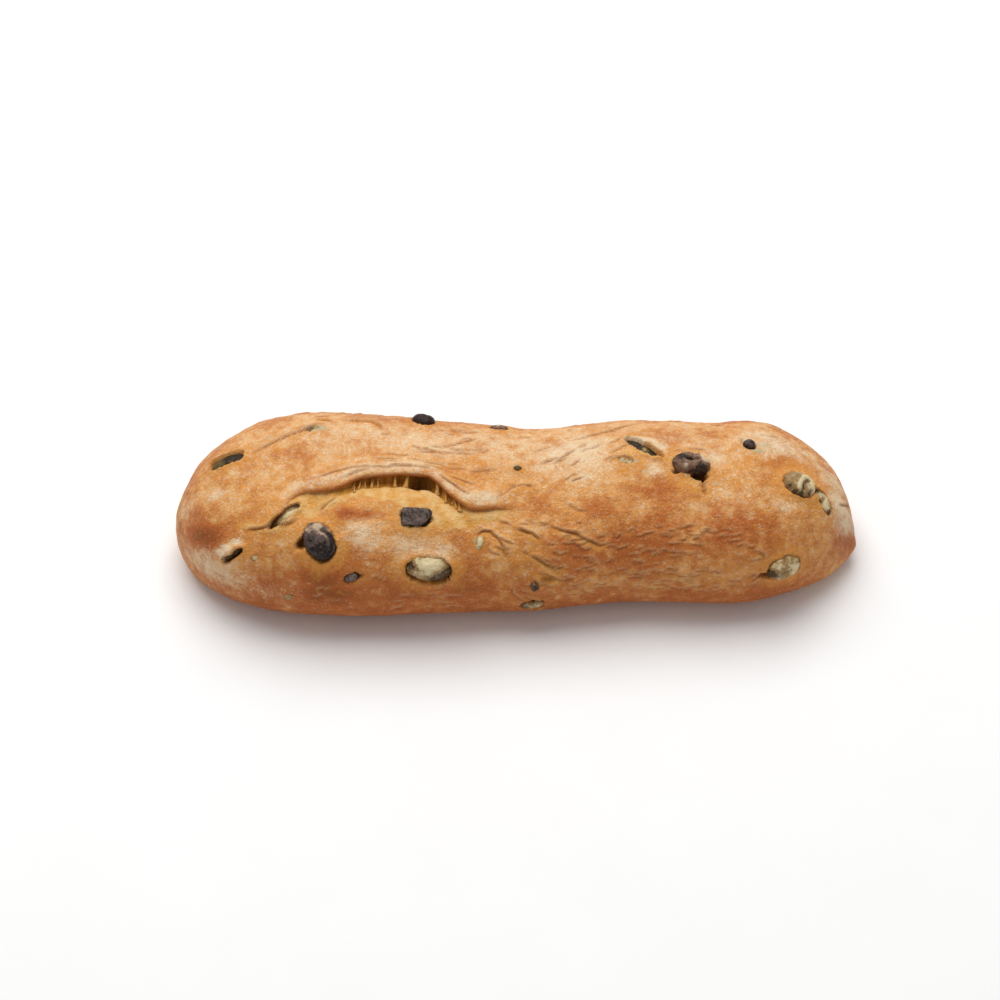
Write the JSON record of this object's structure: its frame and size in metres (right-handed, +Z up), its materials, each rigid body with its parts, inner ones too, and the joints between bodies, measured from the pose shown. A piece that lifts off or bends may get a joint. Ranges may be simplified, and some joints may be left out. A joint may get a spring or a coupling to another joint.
{
  "type": "olive ciabatta loaf",
  "caption": "Long, low hand-shaped wheat loaf with a torn split along its crown, baked with pieces of black and green olive in its floury crust.",
  "frame": {"origin": "on the table, under the middle of the loaf's bounding box", "axes": "+X along the loaf towards its narrower end, +Y towards the back of the loaf, away from the split, +Z up"},
  "size_m": [0.272, 0.0913, 0.0565],
  "materials": {
    "crust": "matte",
    "black_olive": "satin",
    "green_olive": "satin"
  },
  "bodies": {
    "root": {"loaf": "crust", "olive_left_shoulder": "green_olive", "olive_left_crest": "green_olive", "olive_back_crest": "black_olive", "olive_back_sliver": "green_olive", "olive_green_sliver": "green_olive", "olive_black_curl": "black_olive", "olive_split_chunk": "black_olive", "olive_left_sliver": "green_olive", "olive_front_bit": "black_olive", "olive_front_bulge": "green_olive", "olive_front_foot": "green_olive", "olive_right_slit": "green_olive", "olive_right_crown": "black_olive", "olive_right_back": "black_olive", "olive_right_shoulder": "green_olive", "olive_right_strip": "green_olive", "olive_crown_speck": "green_olive", "olive_front_speck": "green_olive", "olive_right_front": "green_olive", "olive_crown_patch": "green_olive", "olive_crease_sliver": "green_olive", "olive_left_speck": "green_olive", "olive_foot_speck": "green_olive", "olive_back_left": "green_olive", "olive_back_low": "black_olive", "olive_back_middle": "black_olive", "olive_back_chunk": "black_olive", "olive_back_right": "green_olive", "olive_back_tip": "green_olive"}
  },
  "joints": []
}
